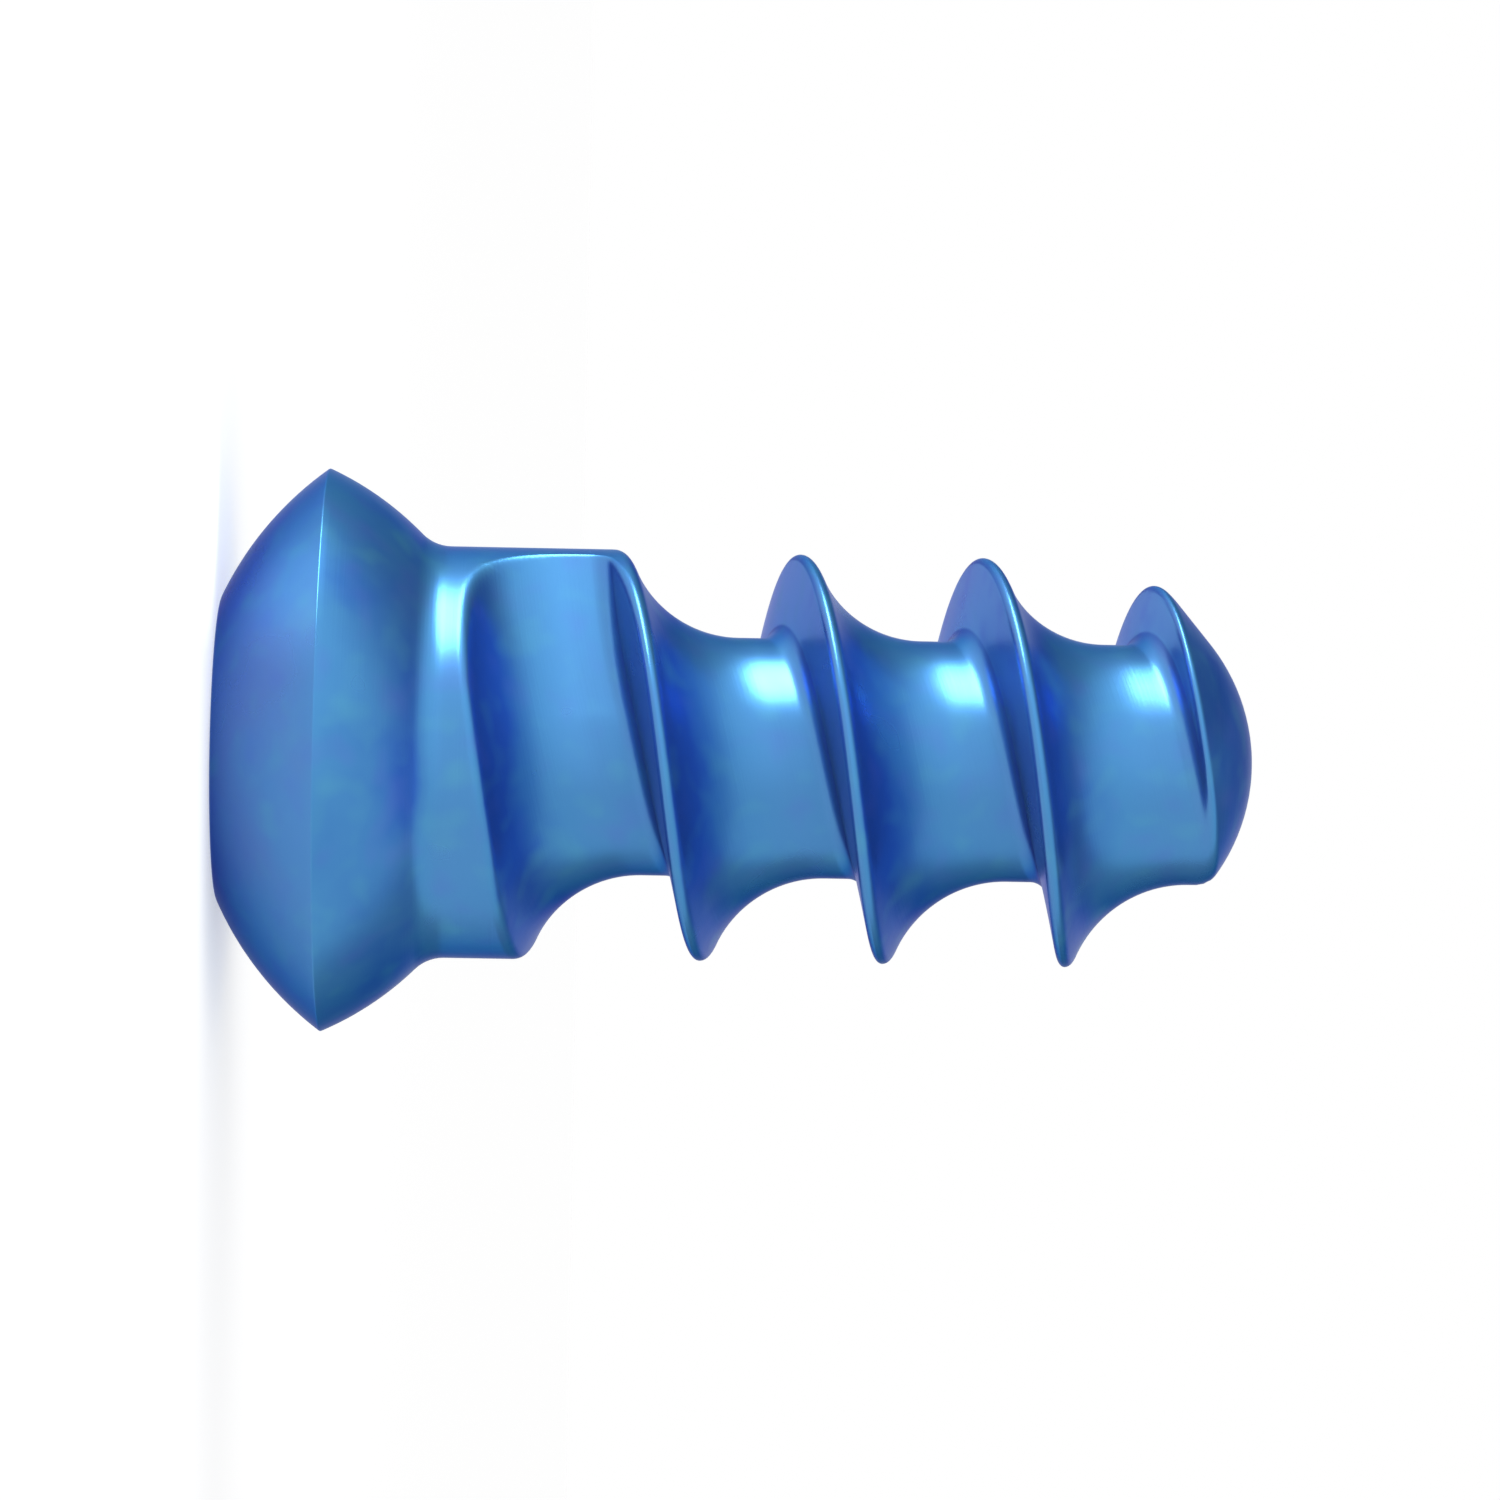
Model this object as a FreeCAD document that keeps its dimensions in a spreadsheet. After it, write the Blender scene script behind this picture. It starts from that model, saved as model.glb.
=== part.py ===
import FreeCAD, Part
import math
import os
import Sketcher

# Occipital fixation screw: one turned titanium piece with a lens-shaped head, a smooth collar,
# a coarse single-start right-hand thread and a blunt nose.
# The head's flat face lies on the XY plane, with its centre at the origin. +Z runs to the tip.
# Lengths are in millimetres and angles in degrees.

# Driving dimensions: name, value, meaning
DIMENSIONS = [
    ("overall_length", 11.3, "from the head's flat face to the tip"),
    ("face_diameter", 3.3, "flat face of the head"),
    ("crown_radius", 3.6, "convex crown between the flat face and the rim"),
    ("rim_diameter", 6.15, "widest edge of the head"),
    ("rim_height", 1.16, "flat face to rim"),
    ("seat_radius", 3.36, "convex seat between the rim and the neck"),
    ("seat_rim_angle", 23.8, "slope of the seat where it leaves the rim, measured from the axis"),
    ("neck_fillet", 0.45, "fillet between the seat and the collar"),
    ("shaft_diameter", 4.5, "collar and thread crests"),
    ("shoulder_radius", 1.3, "rounding between the crests and the nose flank"),
    ("nose_angle", 50.0, "nose flank, measured from the axis"),
    ("tip_radius", 2.1, "spherical end of the nose"),
    ("core_diameter", 2.62, "thread root"),
    ("pitch", 2.0, "thread pitch, and its lead"),
    ("crest_width", 0.12, "flat land on each crest"),
    ("load_flank_angle", 9.0, "flank facing the head, measured from the radial plane"),
    ("root_arc_radius", 1.34, "concave flank facing the tip"),
    ("root_fillet", 0.22, "fillet between the root and the load flank"),
    ("thread_height", 2.75, "groove edge nearest the head, where the groove is first fully deep"),
    ("runout_angle", 56.4, "turn over which the groove rises out of the collar"),
    ("runout_narrowing", 0.15, "how much narrower the groove is where it leaves the collar"),
    ("cutter_clearance", 0.12, "how far the cutting profile clears the shaft"),
    ("clock_angle", 250.0, "turn about the axis that sets where the groove starts"),
    ("hex_width", 2.5, "drive socket across its flats"),
    ("hex_depth", 1.6, "full depth of the hexagon"),
    ("pilot_diameter", 2.4, "hole drilled before the hexagon is broached"),
    ("pilot_depth", 1.75, "straight part of that hole"),
    ("drill_angle", 118.0, "point angle of that hole"),
    ("entry_diameter", 2.96, "mouth of the socket's entry chamfer"),
]

RUNOUT_STEPS = 6


def make_sheet(doc):
    """Put the driving dimensions in a spreadsheet, one aliased cell each."""
    sheet = doc.addObject("Spreadsheet::Sheet", "Sheet")
    for row, (alias, value, meaning) in enumerate(DIMENSIONS, start=1):
        sheet.set(f"A{row}", alias)
        sheet.set(f"B{row}", str(value))
        sheet.setAlias(f"B{row}", alias)
        sheet.set(f"C{row}", meaning)
    doc.recompute()
    return sheet


def point(x, y):
    """A point of a sketch."""
    return FreeCAD.Vector(x, y, 0)


def add_sketch(body, name, role):
    """A new sketch on one of the body's own origin planes."""
    sketch = body.newObject("Sketcher::SketchObject", name)
    plane = next(item for item in body.Origin.OriginFeatures if item.Role == role)
    sketch.AttachmentSupport = (plane, [""])
    sketch.MapMode = "FlatFace"
    return sketch


def add_arc(sketch, centre, start, end):
    """An arc drawn anticlockwise from start to end about centre."""
    begin = math.atan2(start.y - centre.y, start.x - centre.x)
    finish = math.atan2(end.y - centre.y, end.x - centre.x)
    circle = Part.Circle(centre, FreeCAD.Vector(0, 0, 1), start.distanceToPoint(centre))
    return sketch.addGeometry(Part.ArcOfCircle(circle, begin, finish), False)


def drive(sketch, name, expression, *constraint):
    """Add one dimension to a sketch, named and bound to the sheet."""
    index = sketch.addConstraint(Sketcher.Constraint(*constraint))
    sketch.renameConstraint(index, name)
    sketch.setExpression(f"Constraints.{name}", expression)


def draw_blank(body, size):
    """The half section of the turned blank, head down, in the plane of the axis."""
    sketch = add_sketch(body, "BlankSection", "XZ_Plane")
    face = size("face_diameter") / 2
    rim = size("rim_diameter") / 2
    shaft = size("shaft_diameter") / 2

    # Centre of the crown's arc, on the inner side of the chord from face edge to rim
    chord = math.hypot(rim - face, size("rim_height"))
    inset = math.sqrt(size("crown_radius") ** 2 - (chord / 2) ** 2) / chord
    crown_centre = point(
        (face + rim) / 2 - size("rim_height") * inset,
        size("rim_height") / 2 + (rim - face) * inset,
    )

    # The seat leaves the rim at its own slope, and the neck fillet touches both it and the shaft
    slope = math.radians(size("seat_rim_angle"))
    seat_centre = point(
        rim - size("seat_radius") * math.cos(slope),
        size("rim_height") - size("seat_radius") * math.sin(slope),
    )
    neck_x = shaft + size("neck_fillet")
    neck_reach = size("seat_radius") + size("neck_fillet")
    neck_z = seat_centre.y + math.sqrt(neck_reach**2 - (neck_x - seat_centre.x) ** 2)
    neck_centre = point(neck_x, neck_z)
    seat_end = seat_centre + (neck_centre - seat_centre) * (size("seat_radius") / neck_reach)

    # The nose: shoulder arc, straight flank and spherical tip
    lean = math.radians(size("nose_angle"))
    outward = point(math.cos(lean), math.sin(lean))
    tip_centre = point(0, size("overall_length") - size("tip_radius"))
    flank_end = tip_centre + outward * size("tip_radius")
    shoulder_x = shaft - size("shoulder_radius")
    touch_x = shoulder_x + size("shoulder_radius") * outward.x
    touch_z = flank_end.y - (touch_x - flank_end.x) / math.tan(lean)
    shoulder_centre = point(shoulder_x, touch_z - size("shoulder_radius") * outward.y)

    bottom = sketch.addGeometry(Part.LineSegment(point(0, 0), point(face, 0)), False)
    crown = add_arc(sketch, crown_centre, point(face, 0), point(rim, size("rim_height")))
    seat = add_arc(sketch, seat_centre, point(rim, size("rim_height")), seat_end)
    neck = add_arc(sketch, neck_centre, point(shaft, neck_z), seat_end)
    side = sketch.addGeometry(
        Part.LineSegment(point(shaft, neck_z), point(shaft, shoulder_centre.y)), False
    )
    shoulder = add_arc(
        sketch, shoulder_centre, point(shaft, shoulder_centre.y), point(touch_x, touch_z)
    )
    flank = sketch.addGeometry(Part.LineSegment(point(touch_x, touch_z), flank_end), False)
    tip = add_arc(sketch, tip_centre, flank_end, point(0, size("overall_length")))
    axis = sketch.addGeometry(
        Part.LineSegment(point(0, size("overall_length")), point(0, 0)), False
    )

    first, last, middle, root, upright = 1, 2, 3, -1, -2
    sketch.addConstraint(
        [
            Sketcher.Constraint("Coincident", bottom, first, root, first),
            Sketcher.Constraint("Horizontal", bottom),
            Sketcher.Constraint("Coincident", bottom, last, crown, first),
            Sketcher.Constraint("Coincident", crown, last, seat, first),
            Sketcher.Constraint("Tangent", seat, last, neck, last),
            Sketcher.Constraint("Tangent", neck, first, side, first),
            Sketcher.Constraint("Vertical", side),
            Sketcher.Constraint("Tangent", side, last, shoulder, first),
            Sketcher.Constraint("Tangent", shoulder, last, flank, first),
            Sketcher.Constraint("Tangent", flank, last, tip, first),
            Sketcher.Constraint("PointOnObject", tip, middle, upright),
            Sketcher.Constraint("Coincident", tip, last, axis, first),
            Sketcher.Constraint("Coincident", axis, last, root, first),
            Sketcher.Constraint("Vertical", axis),
        ]
    )
    drive(sketch, "face_edge", "Sheet.face_diameter / 2", "DistanceX", root, first, bottom, last, face)
    drive(sketch, "crown", "Sheet.crown_radius", "Radius", crown, size("crown_radius"))
    drive(sketch, "rim_reach", "Sheet.rim_diameter / 2", "DistanceX", root, first, crown, last, rim)
    drive(
        sketch, "rim_rise", "Sheet.rim_height",
        "DistanceY", root, first, crown, last, size("rim_height"),
    )
    drive(sketch, "seat", "Sheet.seat_radius", "Radius", seat, size("seat_radius"))
    drive(
        sketch, "seat_slope", "Sheet.seat_radius * sin(Sheet.seat_rim_angle * 1deg)",
        "DistanceY", seat, middle, crown, last, size("rim_height") - seat_centre.y,
    )
    drive(sketch, "neck", "Sheet.neck_fillet", "Radius", neck, size("neck_fillet"))
    drive(sketch, "shaft", "Sheet.shaft_diameter / 2", "DistanceX", root, first, side, last, shaft)
    drive(sketch, "shoulder", "Sheet.shoulder_radius", "Radius", shoulder, size("shoulder_radius"))
    drive(sketch, "lean", "90 + Sheet.nose_angle", "Angle", flank, math.pi / 2 + lean)
    drive(sketch, "tip", "Sheet.tip_radius", "Radius", tip, size("tip_radius"))
    drive(
        sketch, "reach", "Sheet.overall_length",
        "DistanceY", root, first, tip, last, size("overall_length"),
    )
    return sketch


def draw_groove(body, name, size, lift="0", turn="0", narrowing="0"):
    """The groove's section in a plane of the axis, lifted off the axis and turned back along the helix.

    It is bounded by the concave flank on the head's side, the root, its fillet, the load flank on
    the tip's side, and a straight closure that stays clear of the shaft.
    """
    sketch = add_sketch(body, name, "XZ_Plane")
    sketch.setExpression("AttachmentOffset.Rotation.Axis.y", "1")
    sketch.setExpression("AttachmentOffset.Rotation.Axis.z", "0")
    sketch.setExpression("AttachmentOffset.Rotation.Angle", f"{turn} * 1deg")
    sketch.setExpression("AttachmentOffset.Base.y", f"Sheet.pitch * {turn} / 360")

    crest = size("shaft_diameter") / 2
    core = size("core_diameter") / 2
    outside = crest + size("cutter_clearance")
    near = size("thread_height")
    far = near + size("pitch") - size("crest_width")
    radius = size("root_arc_radius")
    arc_rise = math.sqrt(radius**2 - (radius - crest + core) ** 2)

    # The fillet touches the root and the load flank at the same distance from their corner
    lean = math.radians(size("load_flank_angle"))
    corner = far - (crest - core) * math.tan(lean)
    touch = size("root_fillet") / math.tan((math.pi / 2 + lean) / 2)
    root_end = (core, corner - touch)
    load_start = (core + touch * math.cos(lean), corner + touch * math.sin(lean))

    def line(start, end):
        return sketch.addGeometry(Part.LineSegment(point(*start), point(*end)), False)

    entry = line((outside, near), (crest, near))
    concave = add_arc(
        sketch, point(core + radius, near + arc_rise), point(core, near + arc_rise), point(crest, near)
    )
    root = line((core, near + arc_rise), root_end)
    fillet = add_arc(
        sketch, point(core + size("root_fillet"), corner - touch), point(*load_start), point(*root_end)
    )
    load = line(load_start, (crest, far))
    leave = line((crest, far), (outside, far))
    closure = line((outside, far), (outside, near))

    first, last, origin = 1, 2, -1
    sketch.addConstraint(
        [
            Sketcher.Constraint("Horizontal", entry),
            Sketcher.Constraint("Coincident", entry, last, concave, last),
            Sketcher.Constraint("Tangent", concave, first, root, first),
            Sketcher.Constraint("Vertical", root),
            Sketcher.Constraint("Tangent", root, last, fillet, last),
            Sketcher.Constraint("Tangent", fillet, first, load, first),
            Sketcher.Constraint("Coincident", load, last, leave, first),
            Sketcher.Constraint("Horizontal", leave),
            Sketcher.Constraint("Coincident", leave, last, closure, first),
            Sketcher.Constraint("Vertical", closure),
            Sketcher.Constraint("Coincident", closure, last, entry, first),
            Sketcher.Constraint("Vertical", entry, last, load, last),
        ]
    )
    drive(
        sketch, "root_reach", f"Sheet.core_diameter / 2 + {lift}",
        "DistanceX", origin, first, root, first, core,
    )
    drive(
        sketch, "depth", "(Sheet.shaft_diameter - Sheet.core_diameter) / 2",
        "DistanceX", root, last, load, last, crest - core,
    )
    drive(
        sketch, "clearance", "Sheet.cutter_clearance",
        "DistanceX", entry, last, entry, first, outside - crest,
    )
    drive(
        sketch, "height", f"Sheet.thread_height + {narrowing}",
        "DistanceY", origin, first, entry, last, near,
    )
    drive(
        sketch, "width", f"Sheet.pitch - Sheet.crest_width - {narrowing}",
        "DistanceY", entry, last, load, last, far - near,
    )
    drive(sketch, "arc", "Sheet.root_arc_radius", "Radius", concave, radius)
    drive(sketch, "root_round", "Sheet.root_fillet", "Radius", fillet, size("root_fillet"))
    drive(sketch, "load_lean", "Sheet.load_flank_angle", "Angle", load, lean)
    return sketch


def cut_runout(body, size, full_groove):
    """Lead the groove out of the collar, through sections whose floor leaves along a straight tangent.

    A straight line beside a circle lies one over the cosine of the angle away from its centre, so
    the sections rise in that proportion, up to the full lift at the run-out's whole angle.
    """
    full_lift = "((Sheet.shaft_diameter - Sheet.core_diameter) / 2 + Sheet.cutter_clearance)"
    full_rise = "(1 / cos(Sheet.runout_angle * 1deg) - 1)"
    sections = []
    for step in range(RUNOUT_STEPS):
        left = 1 - step / RUNOUT_STEPS
        rise = f"(1 / cos(Sheet.runout_angle * {left:.6f} * 1deg) - 1)"
        sections.append(
            draw_groove(
                body, f"RunoutSection{step}", size,
                lift=f"{full_lift} * {rise} / {full_rise}",
                turn=f"(-Sheet.runout_angle * {left:.6f})",
                narrowing=f"Sheet.runout_narrowing * {left:.6f}",
            )
        )
    runout = body.newObject("PartDesign::SubtractiveLoft", "ThreadRunout")
    runout.Profile = sections[0]
    runout.Sections = sections[1:] + [full_groove]
    return runout


def cut_thread(body, size):
    """Sweep the groove up the helix, out through the nose."""
    groove = draw_groove(body, "GrooveSection", size)
    thread = body.newObject("PartDesign::SubtractiveHelix", "ThreadGroove")
    thread.Profile = groove
    thread.ReferenceAxis = (groove, ["V_Axis"])
    thread.Mode = "pitch-height-angle"
    thread.setExpression("Pitch", "Sheet.pitch * 1mm")
    thread.setExpression("Height", "(Sheet.overall_length - Sheet.thread_height) * 1mm")
    thread.Angle = 0
    thread.LeftHanded = False
    thread.Reversed = False
    return thread, groove


def drill_pilot(body, size):
    """The drilled hole under the hexagon, with its cone and the chamfer at its mouth."""
    sketch = add_sketch(body, "PilotSection", "XZ_Plane")
    mouth = size("entry_diameter") / 2
    wall = size("pilot_diameter") / 2
    depth = size("pilot_depth")
    cone = wall / math.tan(math.radians(size("drill_angle") / 2))
    corners = [(0, 0), (mouth, 0), (wall, mouth - wall), (wall, depth), (0, depth + cone)]
    lines = []
    for start, end in zip(corners, corners[1:] + corners[:1]):
        lines.append(sketch.addGeometry(Part.LineSegment(point(*start), point(*end)), False))
    flat, chamfer, side, point_cone, axis = lines

    first, last, origin = 1, 2, -1
    sketch.addConstraint(
        [
            Sketcher.Constraint("Coincident", origin, first, flat, first),
            Sketcher.Constraint("Horizontal", flat),
            Sketcher.Constraint("Coincident", flat, last, chamfer, first),
            Sketcher.Constraint("Coincident", chamfer, last, side, first),
            Sketcher.Constraint("Vertical", side),
            Sketcher.Constraint("Coincident", side, last, point_cone, first),
            Sketcher.Constraint("Coincident", point_cone, last, axis, first),
            Sketcher.Constraint("Coincident", axis, last, origin, first),
            Sketcher.Constraint("Vertical", axis),
        ]
    )
    drive(
        sketch, "mouth", "Sheet.entry_diameter / 2",
        "DistanceX", origin, first, flat, last, mouth,
    )
    drive(
        sketch, "wall", "Sheet.pilot_diameter / 2",
        "DistanceX", origin, first, side, first, wall,
    )
    drive(sketch, "depth", "Sheet.pilot_depth", "DistanceY", origin, first, side, last, depth)
    drive(
        sketch, "chamfer", "(Sheet.entry_diameter - Sheet.pilot_diameter) / 2",
        "DistanceY", chamfer, first, chamfer, last, mouth - wall,
    )
    drive(
        sketch, "cone", "Sheet.pilot_diameter / 2 / tan(Sheet.drill_angle / 2 * 1deg)",
        "DistanceY", point_cone, first, point_cone, last, cone,
    )
    pilot = body.newObject("PartDesign::Groove", "SocketPilot")
    pilot.Profile = sketch
    pilot.ReferenceAxis = (sketch, ["V_Axis"])
    pilot.Angle = 360
    return pilot


def broach_hexagon(body, size):
    """The hexagon of the drive socket, centred on the axis, with two corners on X."""
    sketch = add_sketch(body, "HexagonSection", "XY_Plane")
    reach = size("hex_width") / math.sqrt(3)
    corners = [
        point(reach * math.cos(math.radians(60 * k)), reach * math.sin(math.radians(60 * k)))
        for k in range(6)
    ]
    sides = [
        sketch.addGeometry(Part.LineSegment(start, end), False)
        for start, end in zip(corners, corners[1:] + corners[:1])
    ]
    guide = sketch.addGeometry(Part.Circle(point(0, 0), FreeCAD.Vector(0, 0, 1), reach), True)
    first, last, middle, origin, level = 1, 2, 3, -1, -1
    for side, following in zip(sides, sides[1:] + sides[:1]):
        sketch.addConstraint(Sketcher.Constraint("Coincident", side, last, following, first))
        sketch.addConstraint(Sketcher.Constraint("PointOnObject", side, first, guide))
    for side, following in zip(sides, sides[1:-1]):
        sketch.addConstraint(Sketcher.Constraint("Equal", side, following))
    sketch.addConstraint(Sketcher.Constraint("Equal", sides[-2], sides[-1]))
    sketch.addConstraint(Sketcher.Constraint("Coincident", guide, middle, origin, first))
    sketch.addConstraint(Sketcher.Constraint("PointOnObject", sides[0], first, level))
    drive(sketch, "corner_reach", "Sheet.hex_width / sqrt(3)", "Radius", guide, reach)
    hexagon = body.newObject("PartDesign::Pocket", "SocketHexagon")
    hexagon.Profile = sketch
    hexagon.Type = "Length"
    hexagon.setExpression("Length", "Sheet.hex_depth * 1mm")
    hexagon.Reversed = True
    return hexagon


def check(doc):
    """Stop if any object of the document failed to compute."""
    for item in doc.Objects:
        if {"Invalid", "Error"} & set(item.State):
            raise RuntimeError(f"{item.Name} failed: {item.State}")


def cut(doc, feature, before):
    """Recompute, and stop if a cutting feature took nothing away. Gives the new volume."""
    doc.recompute()
    check(doc)
    after = feature.Shape.Volume
    if after >= before:
        raise RuntimeError(f"{feature.Name} cuts nothing")
    return after


def make_screw(doc, sheet):
    """The whole screw: turned blank, thread groove with its run-out, and drive socket."""

    def size(alias):
        return float(sheet.get(alias))

    body = doc.addObject("PartDesign::Body", "Screw")
    body.Label = "bone_screw"

    section = draw_blank(body, size)
    blank = body.newObject("PartDesign::Revolution", "Blank")
    blank.Profile = section
    blank.ReferenceAxis = (section, ["V_Axis"])
    blank.Angle = 360
    doc.recompute()
    check(doc)

    thread, groove = cut_thread(body, size)
    volume = cut(doc, thread, blank.Shape.Volume)
    volume = cut(doc, cut_runout(body, size, groove), volume)
    volume = cut(doc, drill_pilot(body, size), volume)
    cut(doc, broach_hexagon(body, size), volume)

    body.Placement = FreeCAD.Placement(point(0, 0), FreeCAD.Rotation(point(0, 0), 0))
    body.setExpression("Placement.Rotation.Axis.z", "1")
    body.setExpression("Placement.Rotation.Angle", "Sheet.clock_angle * 1deg")
    doc.recompute()
    check(doc)
    return body


def main():
    doc = FreeCAD.newDocument("OccipitalScrew")
    screw = make_screw(doc, make_sheet(doc))
    if screw.Shape.isNull() or not screw.Shape.isValid() or len(screw.Shape.Solids) != 1:
        raise RuntimeError(f"{screw.Label} is not one valid solid")
    os.makedirs("parts", exist_ok=True)
    screw.Shape.exportStep(f"parts/{screw.Label}.step")
    print(f"{screw.Label}: {screw.Shape.Volume:.3f} mm3, {len(screw.Shape.Faces)} faces")


main()
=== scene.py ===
import bpy
import numpy as np
from mathutils import Matrix, Vector


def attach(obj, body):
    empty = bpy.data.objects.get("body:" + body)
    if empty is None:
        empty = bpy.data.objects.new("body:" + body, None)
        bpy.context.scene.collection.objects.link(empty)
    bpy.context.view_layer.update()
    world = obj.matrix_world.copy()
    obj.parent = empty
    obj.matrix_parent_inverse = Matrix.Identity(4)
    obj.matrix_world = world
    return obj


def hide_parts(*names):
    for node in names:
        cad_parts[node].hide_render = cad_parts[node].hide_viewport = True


# Occipital fixation screw, standing on its head's flat face, tip up.
# Shapes are worked out in millimetres and put into the meshes in metres.

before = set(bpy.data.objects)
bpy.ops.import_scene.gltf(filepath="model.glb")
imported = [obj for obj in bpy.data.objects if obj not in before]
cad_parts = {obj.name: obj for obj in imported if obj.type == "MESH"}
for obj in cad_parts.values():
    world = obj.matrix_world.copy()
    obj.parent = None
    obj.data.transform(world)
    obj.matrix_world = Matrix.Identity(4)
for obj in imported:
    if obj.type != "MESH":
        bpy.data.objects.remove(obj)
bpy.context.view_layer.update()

MM = 0.001

# Head
FACE_RADIUS = 1.65
CROWN_RADIUS = 3.6
RIM_RADIUS = 3.075
RIM_HEIGHT = 1.16
SEAT_RADIUS = 3.36
SEAT_RIM_ANGLE = np.radians(23.8)
NECK_FILLET = 0.45

# Shaft and nose
LENGTH = 11.3
SHAFT_RADIUS = 2.25
SHOULDER_RADIUS = 1.3
NOSE_ANGLE = np.radians(50)
TIP_RADIUS = 2.1

# Thread, with its height measured where the groove is first fully deep
CORE_RADIUS = 1.31
PITCH = 2.0
CREST_WIDTH = 0.12
LOAD_LEAN = np.radians(9)
GROOVE_ARC = 1.34
ROOT_FILLET = 0.22
THREAD_HEIGHT = 2.75
THREAD_START = np.radians(250)
RUNOUT_CLEARANCE = 0.12
RUNOUT_NARROWING = 0.15

# Drive socket
HEX_HALF_WIDTH = 1.25
HEX_DEPTH = 1.6
HEX_BLEND = 0.12
PILOT_RADIUS = 1.2
PILOT_DEPTH = 1.75
DRILL_HALF_ANGLE = np.radians(59)
MOUTH_RADIUS = 1.48
LEAST_CHAMFER = 0.02

# Broken edges, as a tumbled and anodised part has them
CREST_BREAK = 0.11
RIM_BREAK = 0.015
FACE_BREAK = 0.05
SOCKET_BREAK = 0.03
MOUTH_BREAK = 0.015

# Break of the edge where the groove leaves the metal, and the power by which the crest's narrows to it
RUNOUT_BREAK = 0.02
RUNOUT_BREAK_POWER = 4

# Groove's section, and the angles over which it leaves the metal
DEPTH = SHAFT_RADIUS - CORE_RADIUS
ARC_LENGTH = np.sqrt(GROOVE_ARC**2 - (GROOVE_ARC - DEPTH) ** 2)
LOAD_END = PITCH - CREST_WIDTH
LOAD_START = LOAD_END - DEPTH * np.tan(LOAD_LEAN)
FILLET_START = LOAD_START - ROOT_FILLET / np.tan((np.pi / 2 + LOAD_LEAN) / 2)
RUNOUT_TURN = np.arccos(CORE_RADIUS / (SHAFT_RADIUS + RUNOUT_CLEARANCE))
EXIT_TURN = -np.arccos(CORE_RADIUS / SHAFT_RADIUS)

# Columns of the mesh: even ones from the seam round, and fine ones where the groove leaves the metal
COLUMNS = 220
SEAM_TURN = np.radians(-60)
FINE_COLUMN = np.radians(0.25)
FINE_COLUMNS = np.arange(-4, 38)

# Heights between which the thread's rows go, and the pitches that they cover
THREAD_FOOT = 2.6
THREAD_TOP = 10.95
PITCHES = 6

# Rows in each pitch, by the length and the bend of the section that a row takes, and the most bend
THREAD_ROWS = 60
SECTION_POINTS = 4001
ROW_LENGTH = 0.09
ROW_BEND = 0.2
MOST_BEND = 0.3

# Rows of the socket, the head, the tip and the broken edges
CONE_ROWS = 4
HEX_ROWS = 6
CROWN_ROWS = 18
SEAT_ROWS = 16
NECK_ROWS = 8
TIP_ROWS = 13
EDGE_ROWS = 6
SOCKET_EDGE_ROWS = 4
SOCKET_CORNER_ROWS = 3

# Exactness: laps of the groove that are tried, step of a slope, halvings of a radius, decimals kept
LAPS = 6
SLOPE_STEP = 0.002
HALVINGS = 26
MERGE_DECIMALS = 6

# Film of the finish, partly its own hue and partly painted shade and painted light: linear colours by how
# far a face points to the tip, from -1 to 1
# Painted light: the steepest part of the load flank, which lies in the groove's shade, gets a lighter
# blue; then the tilts over which it comes in
LOAD_FLANK_PAINTED_LIGHT = (0.16, 0.38, 0.68, 1)
LOAD_FLANK_PAINTED_LIGHT_TILT = (-0.91, -0.95)
# Violet on the crown, cyan-blue on the round faces, and darker towards the nose, where the darker blue is
# painted shade
FILM_AND_SHADE = (
    (-0.89, (0.11, 0.225, 0.54, 1)),
    (-0.6, (0.090, 0.26, 0.56, 1)),
    (0.4, (0.070, 0.262, 0.55, 1)),
    (0.6, (0.060, 0.225, 0.53, 1)),
    (0.8, (0.036, 0.135, 0.52, 1)),
)
EDGE_TINT = (
    (-1.0, (0.44, 0.34, 0.70, 1)),
    (-0.9, (0.24, 0.20, 0.44, 1)),
    (0.6, (0.24, 0.20, 0.44, 1)),
    (0.85, (0.55, 0.56, 0.70, 1)),
)

# Spots of the film: noise scale per metre, and the noise levels where each starts and is complete
SPOT_SCALE = 2200.0
TEAL = (0.10, 0.40, 0.50, 1)
TEAL_LEVELS = (0.55, 0.8)
VIOLET = (0.10, 0.17, 0.60, 1)
VIOLET_LEVELS = (0.45, 0.2)
SPOT_STRENGTH = 0.28

# Clouds of the finish: noise scale per metre, shift of the film's colour, and roughness by noise level
CLOUD_SCALE = 700.0
FILM_DRIFT = 0.8
CLOUD_LEVELS = (0.3, 0.7)
ROUGHNESS = (0.26, 0.33)

# Metal and turning marks: marks for each millimetre, and their depth in millimetres
METAL_SHARE = 0.8
MARK_SCALE = 30.0
MARK_DEPTH = 0.0006

# Studio, in millimetres: the ground, the pool of light on it beside the head, and the side softbox
GROUND_REACH = 3000.0
GROUND_WHITE = 0.65
GROUND_GLOW = 0.5
POOL_GLOW = 1.0
POOL_MIDDLE = (-2.6, -2.3, 0.0)
POOL_INNER = 0.4
POOL_OUTER = 1.8
SOFTBOX_PLACE = (-40, -9, 7)
SOFTBOX_TARGET = (0, -9, 7)
SOFTBOX_SIZE = (36, 16)
SOFTBOX_RADIANCE = 11.0

# Surroundings: direction, axes that count, brightness there, and cosines where that starts and is full
SURROUNDINGS = (
    ((-0.35, 0.45, 0.82), (1, 1, 1), 0.45, 0.64, 0.93),
    ((-0.76, 0.65, 0.0), (1, 1, 0), 0.45, 0.84, 0.97),
    ((0.76, 0.65, 0.0), (1, 1, 0), 0.45, 0.84, 0.97),
    ((-0.55, -0.83, 0.0), (1, 1, 1), 1.3, 0.3, 1.0),
)

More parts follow.
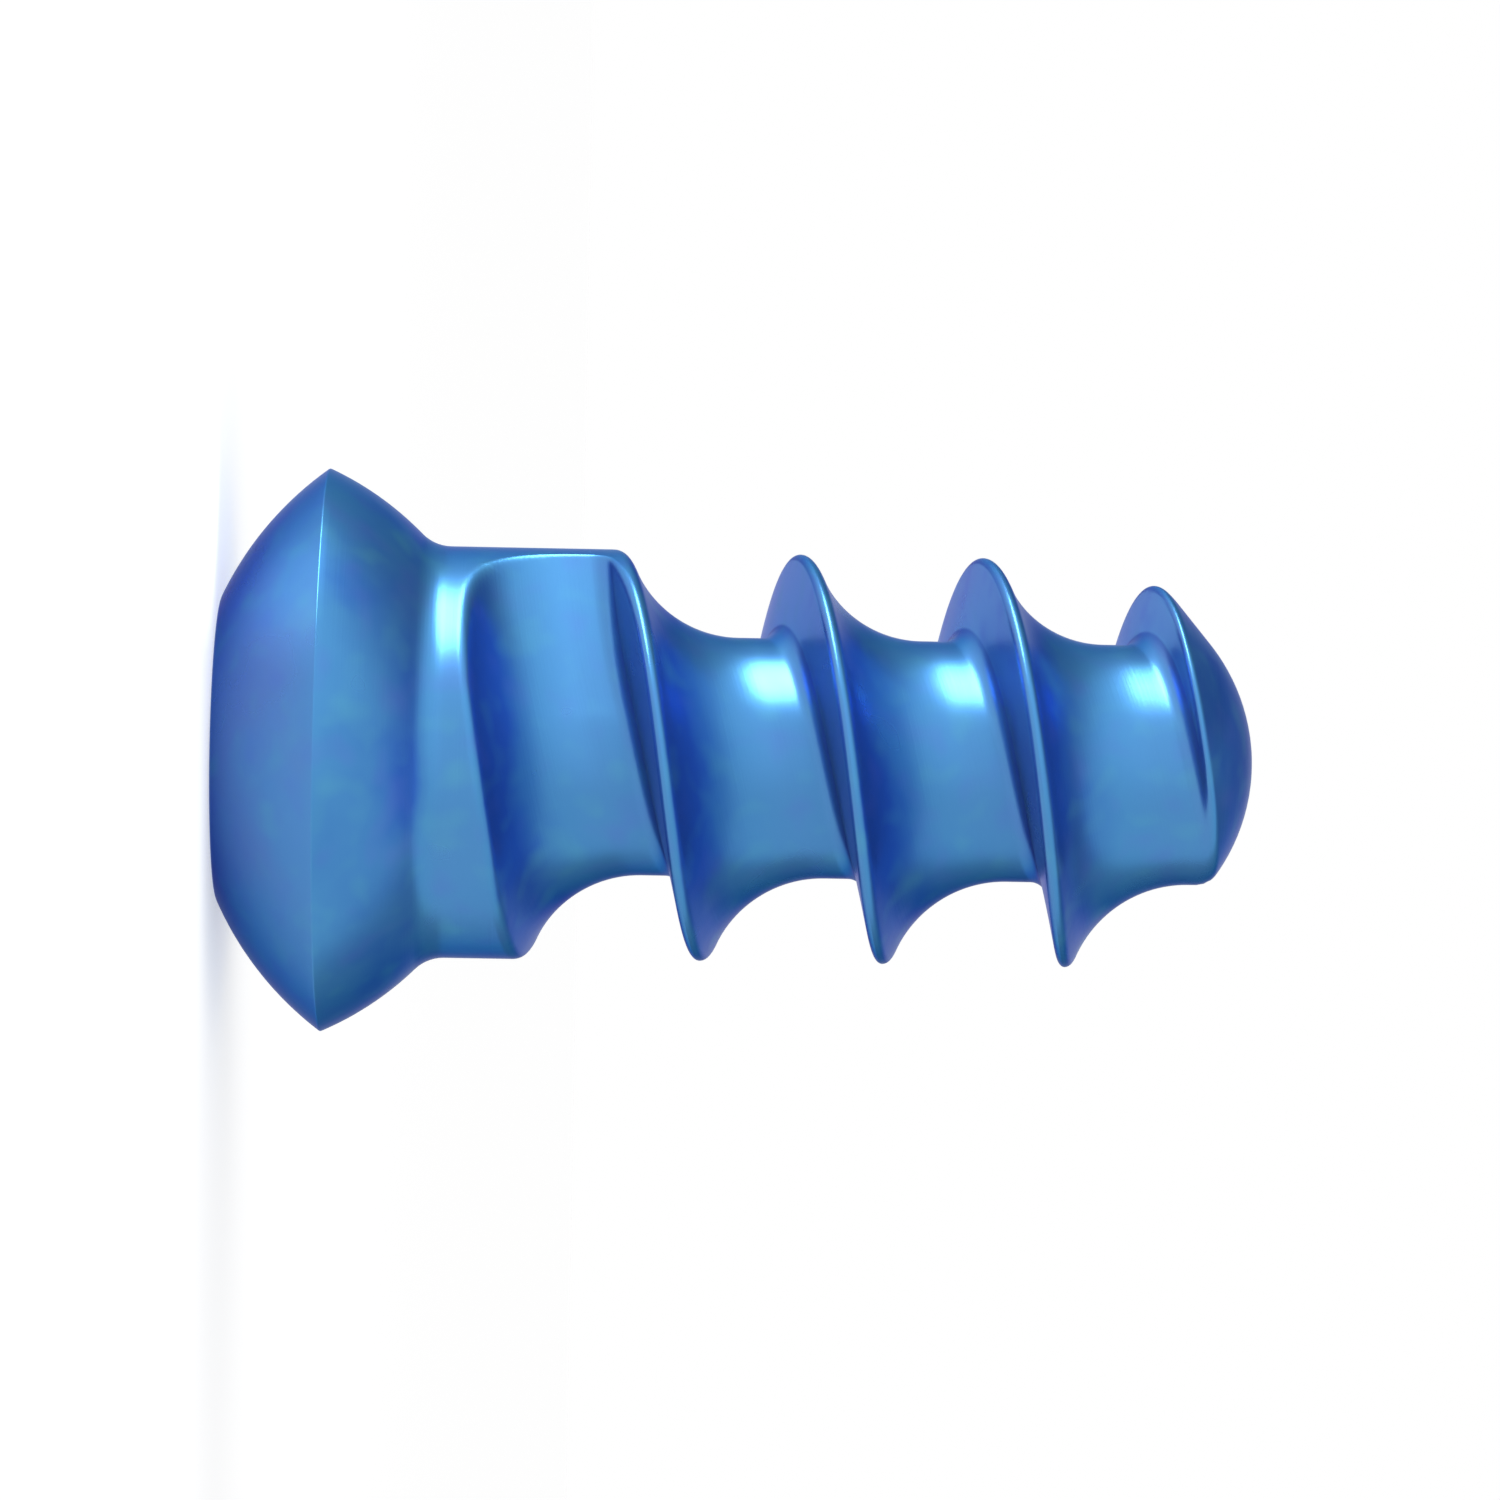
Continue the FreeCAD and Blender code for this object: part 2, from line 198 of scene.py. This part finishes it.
# Camera: place, lens and sensor in millimetres, and its turns from facing +Y with +Z to the right
CAMERA_PLACE = (0, -60, 4.016)
CAMERA_LENS = 131.5
CAMERA_SENSOR = 36
CAMERA_PAN = np.radians(0.08)
CAMERA_TILT = np.radians(1.70)
CAMERA_ROLL = np.radians(1.06)

# Nearest and farthest that the camera sees, in metres
CAMERA_NEAR = 0.001
CAMERA_FAR = 20


def smooth_max(a, b, width):
    """The larger of two values, blended over width.

    Where they differ by less than width, it adds (width - gap) squared over four widths.
    """
    gap = np.minimum(np.abs(a - b), width)
    return np.maximum(a, b) + (width - gap) ** 2 / (4 * width)


def nose_radius(z):
    """Radius of the turned bar at height z.

    It is the shaft's radius, then the shoulder arc, then a straight flank, then the tip's sphere.
    Each meets the next without a corner.
    """
    out, up = np.cos(NOSE_ANGLE), np.sin(NOSE_ANGLE)
    tip_middle = LENGTH - TIP_RADIUS
    flank_top, flank_top_radius = tip_middle + TIP_RADIUS * up, TIP_RADIUS * out
    flank_foot_radius = SHAFT_RADIUS - SHOULDER_RADIUS * (1 - out)
    flank_foot = flank_top - (flank_foot_radius - flank_top_radius) / np.tan(NOSE_ANGLE)
    shoulder_foot = flank_foot - SHOULDER_RADIUS * up
    shoulder = SHAFT_RADIUS - SHOULDER_RADIUS + np.sqrt(
        np.maximum(SHOULDER_RADIUS**2 - (z - shoulder_foot) ** 2, 0)
    )
    flank = flank_foot_radius - (z - flank_foot) * np.tan(NOSE_ANGLE)
    tip = np.sqrt(np.maximum(TIP_RADIUS**2 - (z - tip_middle) ** 2, 0))
    places = [z < shoulder_foot, z < flank_foot, z < flank_top]
    return np.select(places, [SHAFT_RADIUS + 0 * z, shoulder, flank], tip)


def groove_distance(radius, s, narrowing):
    """Distance from the groove's wall, above nought in the air, for a point of an axial section.

    The point is a radius and a distance s along the axis from the groove's edge nearest the head.
    The wall is an arc down to the core, the core, a fillet arc, then the straight load flank. A
    narrowed groove has its first arc moved that much towards the tip.
    """
    before = np.minimum(s - ARC_LENGTH - narrowing, 0)
    floor = GROOVE_ARC - np.hypot(before, CORE_RADIUS + GROOVE_ARC - radius)
    up, across = np.cos(LOAD_LEAN), np.sin(LOAD_LEAN)
    load = (radius - CORE_RADIUS) * across - (s - LOAD_START) * up
    in_s, in_radius = s - FILLET_START, radius - CORE_RADIUS - ROOT_FILLET
    by_fillet = (in_s > 0) & (in_s * across + in_radius * up < 0)
    fillet = ROOT_FILLET - np.hypot(in_s, in_radius)
    return np.where(by_fillet, fillet, np.minimum(floor, load))


def thread_radius(turn, z):
    """Radius of the threaded part at an angle past the thread's start, and at height z.

    The metal lies inside the bar and outside every turn of the groove. The groove rises by one
    pitch each turn. Before its start its floor leaves the metal straight along the core's tangent,
    which is the core over the cosine of the angle. The radius is the one at which the smooth
    largest of the distances out of the metal is nought, found by halving.
    """
    slope = (nose_radius(z + SLOPE_STEP) - nose_radius(z - SLOPE_STEP)) / (2 * SLOPE_STEP)
    bar, square = nose_radius(z), 1 / np.sqrt(1 + slope**2)
    laps = []
    for lap in range(LAPS):
        angle = turn + 2 * np.pi * lap
        left = np.clip(-angle / RUNOUT_TURN, 0, 1)
        lift = CORE_RADIUS * (1 / np.cos(left * RUNOUT_TURN) - 1)
        sharp = np.clip(angle / EXIT_TURN, 0, 1) ** RUNOUT_BREAK_POWER
        edge_break = CREST_BREAK + (RUNOUT_BREAK - CREST_BREAK) * sharp
        laps.append((lift, z - THREAD_HEIGHT - PITCH * angle / (2 * np.pi), left, edge_break))
    low, high = np.zeros_like(z), np.full_like(z, SHAFT_RADIUS)
    for _ in range(HALVINGS):
        middle = (low + high) / 2
        out = (middle - bar) * square
        for lift, s, left, edge_break in laps:
            out = smooth_max(out, groove_distance(middle - lift, s, RUNOUT_NARROWING * left), edge_break)
        low, high = np.where(out < 0, middle, low), np.where(out < 0, high, middle)
    return (low + high) / 2


def arc_points(middle, start, end, count, short=0.0):
    """Points of an arc from start to end about a middle, the short way round, ending short of end."""
    a = np.arctan2(start[1] - middle[1], start[0] - middle[0])
    b = np.arctan2(end[1] - middle[1], end[0] - middle[0])
    reach = np.hypot(start[0] - middle[0], start[1] - middle[1])
    swing = (b - a + np.pi) % (2 * np.pi) - np.pi
    angles = a + (swing - np.sign(swing) * short / reach) * np.linspace(0, 1, count)
    return [(middle[0] + reach * np.cos(t), middle[1] + reach * np.sin(t)) for t in angles]


def break_corner(before, corner, after, reach, count=EDGE_ROWS):
    """A short curve in place of a corner: a quadratic curve that leaves each side at reach."""
    leave = corner + (before - corner) * reach / np.linalg.norm(before - corner, axis=0)
    meet = corner + (after - corner) * reach / np.linalg.norm(after - corner, axis=0)
    steps = np.linspace(0, 1, count)
    return [(1 - t) ** 2 * leave + 2 * t * (1 - t) * corner + t**2 * meet for t in steps]


def between(start, end, count):
    """Even points strictly between two points."""
    return [start + (end - start) * t for t in np.linspace(0, 1, count + 2)[1:-1]]


def hexagon_radius(turn):
    """Distance from the axis to a hexagon with corners at every sixth of a turn.

    It is the half width over the cosine of the angle from the middle of the flat, pulled in
    a little at the corners by a smooth least of the two flats that meet there.
    """
    sixth = np.pi / 3
    from_flat = (turn % sixth) - sixth / 2
    flat = HEX_HALF_WIDTH / np.cos(from_flat)
    other = HEX_HALF_WIDTH / np.cos(sixth - np.abs(from_flat))
    return -smooth_max(-flat, -other, HEX_BLEND)


def head_arcs():
    """Points of the crown's, the seat's and the neck fillet's arcs, from the face to the collar.

    The crown's arc goes from the face's edge to the rim. The seat's arc leaves the rim at its own
    angle. The fillet's middle is one fillet away from both the seat and the collar.
    """
    rim = (RIM_RADIUS, RIM_HEIGHT)
    chord = np.hypot(RIM_RADIUS - FACE_RADIUS, RIM_HEIGHT)
    inset = np.sqrt(CROWN_RADIUS**2 - (chord / 2) ** 2) / chord
    crown_middle = (
        (FACE_RADIUS + RIM_RADIUS) / 2 - RIM_HEIGHT * inset,
        RIM_HEIGHT / 2 + (RIM_RADIUS - FACE_RADIUS) * inset,
    )
    seat_middle = (
        RIM_RADIUS - SEAT_RADIUS * np.cos(SEAT_RIM_ANGLE),
        RIM_HEIGHT - SEAT_RADIUS * np.sin(SEAT_RIM_ANGLE),
    )
    neck_reach = SEAT_RADIUS + NECK_FILLET
    neck_x = SHAFT_RADIUS + NECK_FILLET
    neck_z = seat_middle[1] + np.sqrt(neck_reach**2 - (neck_x - seat_middle[0]) ** 2)
    seat_end = tuple(
        m + (n - m) * SEAT_RADIUS / neck_reach for m, n in zip(seat_middle, (neck_x, neck_z))
    )
    crown = arc_points(crown_middle, (FACE_RADIUS, 0), rim, CROWN_ROWS, RIM_BREAK)
    seat = arc_points(seat_middle, seat_end, rim, SEAT_ROWS, RIM_BREAK)[::-1]
    neck = arc_points((neck_x, neck_z), seat_end, (SHAFT_RADIUS, neck_z), NECK_ROWS)
    return crown, seat, neck


def head_rows(turn):
    """Radius and height of each row of the socket and the head, from the cone's point to the collar.

    Socket: cone, pilot hole, floor of the hexagon, hexagon walls, chamfer.
    Head: flat face, crown arc, rim, seat arc, neck fillet, collar.
    """

    def ring(radius, height):
        return np.array([radius + 0 * turn, height + 0 * turn])

    hexagon = hexagon_radius(turn)
    cone_point = ring(0, PILOT_DEPTH + PILOT_RADIUS / np.tan(DRILL_HALF_ANGLE))
    pilot_foot = ring(PILOT_RADIUS, PILOT_DEPTH)
    pilot_mouth = ring(PILOT_RADIUS, HEX_DEPTH)
    floor_edge = ring(hexagon, HEX_DEPTH)
    wall_mouth = ring(hexagon, np.maximum(MOUTH_RADIUS - hexagon, LEAST_CHAMFER))
    chamfer_out = wall_mouth + np.array([[1.0], [-1.0]]) * (MOUTH_RADIUS - hexagon)
    mouth = ring(MOUTH_RADIUS, 0)
    face_edge = ring(FACE_RADIUS, 0)
    rim = ring(RIM_RADIUS, RIM_HEIGHT)
    crown, seat, neck = ([ring(*point) for point in arc] for arc in head_arcs())
    collar = ring(thread_radius(turn, np.full_like(turn, THREAD_FOOT)), THREAD_FOOT)

    rows = [cone_point]
    rows += between(cone_point, pilot_foot, CONE_ROWS)
    rows += break_corner(cone_point, pilot_foot, pilot_mouth, SOCKET_BREAK, SOCKET_CORNER_ROWS)
    rows += break_corner(pilot_foot, pilot_mouth, floor_edge, SOCKET_BREAK, SOCKET_EDGE_ROWS)
    rows += break_corner(pilot_mouth, floor_edge, wall_mouth, SOCKET_BREAK, SOCKET_CORNER_ROWS)
    rows += between(floor_edge, wall_mouth, HEX_ROWS)
    rows += break_corner(floor_edge, wall_mouth, chamfer_out, MOUTH_BREAK, SOCKET_EDGE_ROWS)
    rows += break_corner(wall_mouth, mouth, face_edge, MOUTH_BREAK, SOCKET_EDGE_ROWS)
    rows += break_corner(mouth, face_edge, crown[1], FACE_BREAK)
    rows += crown[1:-1]
    rows += break_corner(crown[-1], rim, seat[0], RIM_BREAK)
    rows += seat[1:] + neck[1:] + [collar]
    radius, height = np.moveaxis(np.array(rows), 1, 0)
    return radius, height


def section_rows():
    """Place along the axis and length along the section of each row in one pitch of the thread.

    Both start in the middle of the crest. The rows are even along the section's length plus its
    bend, each over what a row takes, so they crowd where it turns. A sharp bend counts up to the
    most bend.
    """
    s = np.linspace(-CREST_WIDTH / 2, LOAD_END + CREST_WIDTH / 2, SECTION_POINTS)
    radius = thread_radius(np.full_like(s, 2 * np.pi), s + THREAD_HEIGHT + PITCH)
    step = np.hypot(np.diff(s), np.diff(radius))
    bend = np.abs(np.diff(np.unwrap(np.arctan2(np.diff(radius), np.diff(s))), append=0))
    weight = step / ROW_LENGTH + np.minimum(bend, MOST_BEND) / ROW_BEND
    need = np.concatenate([[0], np.cumsum(weight)])
    length = np.concatenate([[0], np.cumsum(step)])
    even = np.arange(THREAD_ROWS) / THREAD_ROWS * need[-1]
    return np.interp(even, need, s), np.interp(even, need, length)


def thread_rows(turn):
    """Radius, height and length along the section of each row of the thread, which climb with it.

    The rows of one pitch are repeated from a pitch below the thread's start, and cut off at the
    thread's foot and top.
    """
    place, length = section_rows()
    rows = (place[None, :] + PITCH * np.arange(-1, PITCHES - 1)[:, None]).ravel()
    climb = THREAD_HEIGHT + PITCH * turn / (2 * np.pi)
    height = np.clip(climb[None, :] + rows[:, None], THREAD_FOOT, THREAD_TOP)
    radius = thread_radius(turn[None, :] + 0 * height, height)
    return radius, height, np.tile(length, PITCHES)[:, None] + 0 * radius


def tip_rows(turn):
    """Radius and height of each row of the tip's cap, from the end of the thread to the pole."""
    tip_middle = LENGTH - TIP_RADIUS
    foot = np.arccos((THREAD_TOP - tip_middle) / TIP_RADIUS)
    fall = np.linspace(foot, 0, TIP_ROWS)[:, None] + 0 * turn
    radius, height = TIP_RADIUS * np.sin(fall), tip_middle + TIP_RADIUS * np.cos(fall)
    radius[0] = thread_radius(turn, np.full_like(turn, THREAD_TOP))
    height[0] = THREAD_TOP
    return radius, height


def row_length(radius, height):
    """Distance from the first row to each row of a grid, along its columns."""
    steps = np.hypot(np.diff(radius, axis=0), np.diff(height, axis=0))
    return np.concatenate([np.zeros((1, radius.shape[1])), np.cumsum(steps, axis=0)])


def grid_triangles(numbers, following):
    """Two triangles for each cell of a grid of point numbers, and of the numbers one column on."""
    a, b = numbers[:-1], following[:-1]
    c, d = following[1:], numbers[1:]
    cells = [np.stack([a, b, c], -1).reshape(-1, 3), np.stack([a, c, d], -1).reshape(-1, 3)]
    return np.concatenate(cells)


def screw_triangles(shape, first, last):
    """Triangles of a grid of points of this shape, closed around the axis.

    The rows before first and from last on are rings. Between them are the thread's rows, and each
    closes onto the one a pitch higher.
    """
    numbers = np.arange(np.prod(shape)).reshape(shape)
    after = np.roll(numbers, -1, axis=1)
    onto = np.minimum(np.arange(first, last) + THREAD_ROWS, last - 1)
    after[first:last, -1] = numbers[onto, 0]
    bands = (slice(0, first), slice(first, last), slice(last, None))
    return np.concatenate([grid_triangles(numbers[band], after[band]) for band in bands])


def merge_points(points, triangles):
    """The same triangles on points merged where they coincide, without those that vanish.

    It also gives the number of each point that is kept.
    """
    _, keep, merged = np.unique(
        np.round(points, MERGE_DECIMALS), axis=0, return_index=True, return_inverse=True
    )
    triangles = merged.ravel()[triangles]
    whole = (triangles != np.roll(triangles, 1, axis=1)).all(axis=1)
    return points[keep], triangles[whole], keep


def smooth_mesh(name, points, triangles):
    """A smooth mesh of triangles, from points in millimetres."""
    mesh = bpy.data.meshes.new(name)
    mesh.vertices.add(len(points))
    mesh.vertices.foreach_set("co", (points * MM).ravel())
    mesh.loops.add(triangles.size)
    mesh.loops.foreach_set("vertex_index", triangles.ravel())
    mesh.polygons.add(len(triangles))
    mesh.polygons.foreach_set("loop_start", np.arange(0, triangles.size, 3))
    mesh.polygons.foreach_set("use_smooth", np.ones(len(triangles), bool))
    mesh.update(calc_edges=True)
    mesh.validate()
    return mesh


def put_on_points(mesh, name, values):
    """Put a number on each point of a mesh, under a name that its material reads."""
    attribute = mesh.attributes.new(name, "FLOAT", "POINT")
    attribute.data.foreach_set("value", np.ascontiguousarray(values, np.float32))


def make_screw(material):
    """The whole screw as one closed surface over the angle and the row.

    The head and the tip are rings around the axis, with the thread's rows between them. For the
    finish each point has its length along the bar's profile, its length along the groove's
    section, whether it lies in the groove, and how far its surface faces the tip.
    """
    turn = SEAM_TURN + 2 * np.pi * np.arange(COLUMNS) / COLUMNS
    turn = np.sort(np.append(turn, EXIT_TURN + FINE_COLUMN * FINE_COLUMNS))
    head_radius, head_height = head_rows(turn)
    radius, height, section_length = thread_rows(turn)
    tip_radius, tip_height = tip_rows(turn)
    radii = np.concatenate([head_radius, radius, tip_radius])
    heights = np.concatenate([head_height, height, tip_height])
    first, last = len(head_radius), len(head_radius) + len(radius)

    angle = THREAD_START + turn
    points = np.stack([radii * np.cos(angle), radii * np.sin(angle), heights], -1).reshape(-1, 3)
    points, triangles, keep = merge_points(points, screw_triangles(radii.shape, first, last))
    mesh = smooth_mesh("screw_body", points, triangles)

    head_length, tip_length = row_length(head_radius, head_height), row_length(tip_radius, tip_height)
    profile = np.concatenate(
        [THREAD_FOOT + head_length - head_length[-1], height, THREAD_TOP + tip_length]
    )
    section, in_groove = np.zeros_like(radii), np.zeros_like(radii)
    section[first:last] = section_length
    # A broken crest lies below the bar by up to a quarter of its break, and the groove lies deeper
    in_groove[first:last] = radius < nose_radius(height) - CREST_BREAK / 4
    normals = np.empty(len(points) * 3, np.float32)
    mesh.vertex_normals.foreach_get("vector", normals)
    for name, grid in (("profile", profile), ("section", section), ("in_groove", in_groove)):
        put_on_points(mesh, name, grid.ravel()[keep])
    put_on_points(mesh, "facing", normals[2::3])

    mesh.materials.append(material)
    screw = bpy.data.objects.new("screw_body", mesh)
    bpy.context.collection.objects.link(screw)
    return screw


def node_adder(tree):
    """A call that adds a node to a tree, with its settings and its inputs.

    An input is named as Blender names it, with _ for a space, or numbered as i0, i1 and so on. It
    is a fixed value, or the output of another node.
    """

    def add(kind, settings=None, **inputs):
        node = tree.nodes.new(kind)
        for key, value in (settings or {}).items():
            setattr(node, key, value)
        for key, value in inputs.items():
            numbered = key[0] == "i" and key[1:].isdigit()
            socket = node.inputs[int(key[1:]) if numbered else key.replace("_", " ")]
            if isinstance(value, bpy.types.NodeSocket):
                tree.links.new(value, socket)
            else:
                socket.default_value = value
        return node

    return add


def new_material(name):
    """A bare material's call that adds its nodes, and its call that ends it with a shader."""
    material = bpy.data.materials.new(name)
    material.use_nodes = True
    tree = material.node_tree
    tree.nodes.clear()
    output = tree.nodes.new("ShaderNodeOutputMaterial")

    def end_with(shader):
        tree.links.new(shader.outputs[0], output.inputs["Surface"])
        return material

    return node_adder(tree), end_with


def anodised_titanium():
    """Blue anodised titanium: a satin metal with turning marks and a film that varies a little.

    The film's colour follows how far the surface faces the tip, drifted by soft clouds: cyan-blue
    on the round faces, and more violet on the crown, the steep flanks and the nose. Towards the
    nose it is also darker, which is painted shade, and the steepest part of the load flank is
    painted lighter, which is painted light in the groove's shade. Small teal and violet spots lie
    over it. Near the outline the metal's tint darkens it. The turning marks are noise along the
    bar's profile, and in the groove along the groove's section.
    """
    add, end_with = new_material("anodised_titanium")
    place = add("ShaderNodeTexCoord").outputs["Object"]
    clouds = add("ShaderNodeTexNoise", Vector=place, Scale=CLOUD_SCALE, Detail=3.0).outputs["Fac"]
    spots = add("ShaderNodeTexNoise", Vector=place, Scale=SPOT_SCALE, Detail=1.0).outputs["Fac"]

    def own(name):
        """A value that the mesh has on its points."""
        return add("ShaderNodeAttribute", {"attribute_name": name}).outputs["Fac"]

    def turning(distance):
        """Turning marks across a distance."""
        marks = add(
            "ShaderNodeTexNoise", {"noise_dimensions": "1D"}, W=distance, Scale=MARK_SCALE, Detail=2.0
        )
        return marks.outputs["Fac"]

    def by_tilt(tilt, stops):
        """A colour that follows a tilt from -1 to 1 through stops."""
        along = add("ShaderNodeMapRange", Value=tilt, From_Min=-1.0, From_Max=1.0)
        ramp = add("ShaderNodeValToRGB", Fac=along.outputs[0])
        elements = ramp.color_ramp.elements
        for number, (at, colour) in enumerate(stops):
            stop = elements[number] if number < len(elements) else elements.new(1.0)
            stop.position, stop.color = (at + 1) / 2, colour
        return ramp.outputs["Color"]

    def over(value, levels, low=0.0, high=1.0):
        """A number from low to high as a value goes from the first level to the second."""
        return add(
            "ShaderNodeMapRange", Value=value, From_Min=levels[0], From_Max=levels[1],
            To_Min=low, To_Max=high,
        ).outputs[0]

    facing = own("facing")
    drift = add(
        "ShaderNodeMath", {"operation": "MULTIPLY_ADD"}, i0=clouds, i1=FILM_DRIFT, i2=-FILM_DRIFT / 2
    )
    film_and_shade_at = add("ShaderNodeMath", {"operation": "ADD"}, i0=facing, i1=drift.outputs[0])
    # The film's colour, with its darker blue towards the nose being painted shade
    colour = by_tilt(film_and_shade_at.outputs[0], FILM_AND_SHADE)
    # Over it: painted light on the steep load flank, then the film's random teal and violet spots
    layers = (
        (over(facing, LOAD_FLANK_PAINTED_LIGHT_TILT), LOAD_FLANK_PAINTED_LIGHT),
        (over(spots, TEAL_LEVELS, high=SPOT_STRENGTH), TEAL),
        (over(spots, VIOLET_LEVELS, high=SPOT_STRENGTH), VIOLET),
    )
    for share, layer in layers:
        mixed = add("ShaderNodeMix", {"data_type": "RGBA"}, i0=share, i6=colour, i7=layer)
        colour = mixed.outputs[2]

    marks = add(
        "ShaderNodeMix", i0=own("in_groove"), i2=turning(own("profile")), i3=turning(own("section"))
    )
    relief = add("ShaderNodeBump", Height=marks.outputs[0], Strength=1.0, Distance=MARK_DEPTH * MM)
    metal = add(
        "ShaderNodeBsdfPrincipled", Base_Color=colour, Metallic=METAL_SHARE,
        Roughness=over(clouds, CLOUD_LEVELS, *ROUGHNESS), Specular_Tint=by_tilt(facing, EDGE_TINT),
        Specular_IOR_Level=0.0, Normal=relief.outputs["Normal"],
    )
    return end_with(metal)


def white_ground():
    """White ground that renders white in the open and keeps the shadow of what stands on it.

    It glows to camera, glossy and transmission rays only, and a little more in the pool of light.
    """
    add, end_with = new_material("white_ground")
    path = add("ShaderNodeLightPath").outputs
    seen = path["Is Camera Ray"]
    for kind in ("Is Glossy Ray", "Is Transmission Ray"):
        either = add("ShaderNodeMath", {"operation": "ADD", "use_clamp": True}, i0=seen, i1=path[kind])
        seen = either.outputs[0]
    place = add("ShaderNodeTexCoord").outputs["Object"]
    away = add(
        "ShaderNodeVectorMath", {"operation": "DISTANCE"}, i0=place, i1=Vector(POOL_MIDDLE) * MM
    )
    pool = add(
        "ShaderNodeMapRange", {"interpolation_type": "SMOOTHSTEP"}, Value=away.outputs["Value"],
        From_Min=POOL_INNER * MM, From_Max=POOL_OUTER * MM, To_Min=POOL_GLOW, To_Max=GROUND_GLOW,
    )
    glow = add("ShaderNodeMath", {"operation": "MULTIPLY"}, i0=seen, i1=pool.outputs[0])
    diffuse = add("ShaderNodeBsdfDiffuse", Color=(GROUND_WHITE, GROUND_WHITE, GROUND_WHITE, 1))
    lift = add("ShaderNodeEmission", Color=(1, 1, 1, 1), Strength=glow.outputs[0])
    return end_with(add("ShaderNodeAddShader", i0=diffuse.outputs[0], i1=lift.outputs[0]))


def softbox(name, middle, target, size, radiance):
    """An oval lamp at a place in millimetres, facing a target.

    Its power is its even radiance times pi times its area, which is pi over four times its size.
    """
    light = bpy.data.lights.new(name, "AREA")
    light.shape = "ELLIPSE"
    light.size, light.size_y = size[0] * MM, size[1] * MM
    light.energy = np.pi * (np.pi / 4 * light.size * light.size_y) * radiance
    item = bpy.data.objects.new(name, light)
    bpy.context.collection.objects.link(item)
    ahead = Vector(target) - Vector(middle)
    item.location = Vector(middle) * MM
    item.rotation_euler = ahead.to_track_quat("-Z", "Y").to_euler()


def surroundings():
    """A white room, softly dimmer or brighter around each direction in SURROUNDINGS.

    It is dim above and behind, a dim panel stands upright on each side behind the screw, and the
    camera's side is bright. Its strength is the product, over those directions, of a smooth step
    from 1 to the brightness there, by the cosine of the angle between that direction and the one
    looked in, both taken on the axes that count.
    """
    world = bpy.data.worlds.new("surroundings")
    bpy.context.scene.world = world
    world.use_nodes = True
    add = node_adder(world.node_tree)
    looking = add("ShaderNodeTexCoord").outputs["Generated"]
    strength = 1.0
    for direction, axes, brightness, start, full in SURROUNDINGS:
        kept = add("ShaderNodeVectorMath", {"operation": "MULTIPLY"}, i0=looking, i1=axes)
        level = add("ShaderNodeVectorMath", {"operation": "NORMALIZE"}, i0=kept.outputs["Vector"])
        cosine = add(
            "ShaderNodeVectorMath", {"operation": "DOT_PRODUCT"}, i0=level.outputs["Vector"], i1=direction
        )
        step = add(
            "ShaderNodeMapRange", {"interpolation_type": "SMOOTHSTEP"}, Value=cosine.outputs["Value"],
            From_Min=start, From_Max=full, To_Min=1.0, To_Max=brightness,
        )
        product = add("ShaderNodeMath", {"operation": "MULTIPLY"}, i0=step.outputs[0], i1=strength)
        strength = product.outputs[0]
    background = world.node_tree.nodes["Background"]
    background.inputs["Color"].default_value = (1, 1, 1, 1)
    world.node_tree.links.new(strength, background.inputs["Strength"])


def studio():
    """White ground in the white room, with a bright softbox on one side."""
    surroundings()
    reach = GROUND_REACH * MM
    corners = [(x * reach, y * reach, 0) for x, y in ((-1, -1), (1, -1), (1, 1), (-1, 1))]
    mesh = bpy.data.meshes.new("ground")
    mesh.from_pydata(corners, [], [(0, 1, 2, 3)])
    mesh.materials.append(white_ground())
    ground = bpy.data.objects.new("ground", mesh)
    bpy.context.collection.objects.link(ground)
    softbox("side_softbox", SOFTBOX_PLACE, SOFTBOX_TARGET, SOFTBOX_SIZE, SOFTBOX_RADIANCE)


def place_camera():
    """Camera at the photograph's place: close to the screw, which lies across the picture."""
    data = bpy.data.cameras.new("camera")
    data.sensor_width, data.lens = CAMERA_SENSOR, CAMERA_LENS
    data.clip_start, data.clip_end = CAMERA_NEAR, CAMERA_FAR
    camera = bpy.data.objects.new("camera", data)
    bpy.context.collection.objects.link(camera)
    ahead = Vector((-np.sin(CAMERA_PAN), 1, np.tan(CAMERA_TILT))).normalized()
    right = (Vector((0, 0, 1)) - ahead * ahead.z).normalized()
    up = (-ahead).cross(right)
    level, rise = np.cos(CAMERA_ROLL), np.sin(CAMERA_ROLL)
    right, up = right * level + up * rise, up * level - right * rise
    matrix = Matrix((right, up, -ahead)).transposed().to_4x4()
    matrix.translation = Vector(CAMERA_PLACE) * MM
    camera.matrix_world = matrix
    bpy.context.scene.camera = camera


screw = make_screw(anodised_titanium())
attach(screw, "root")
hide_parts("bone_screw")
studio()
place_camera()
bpy.context.scene.view_settings.view_transform = "Standard"
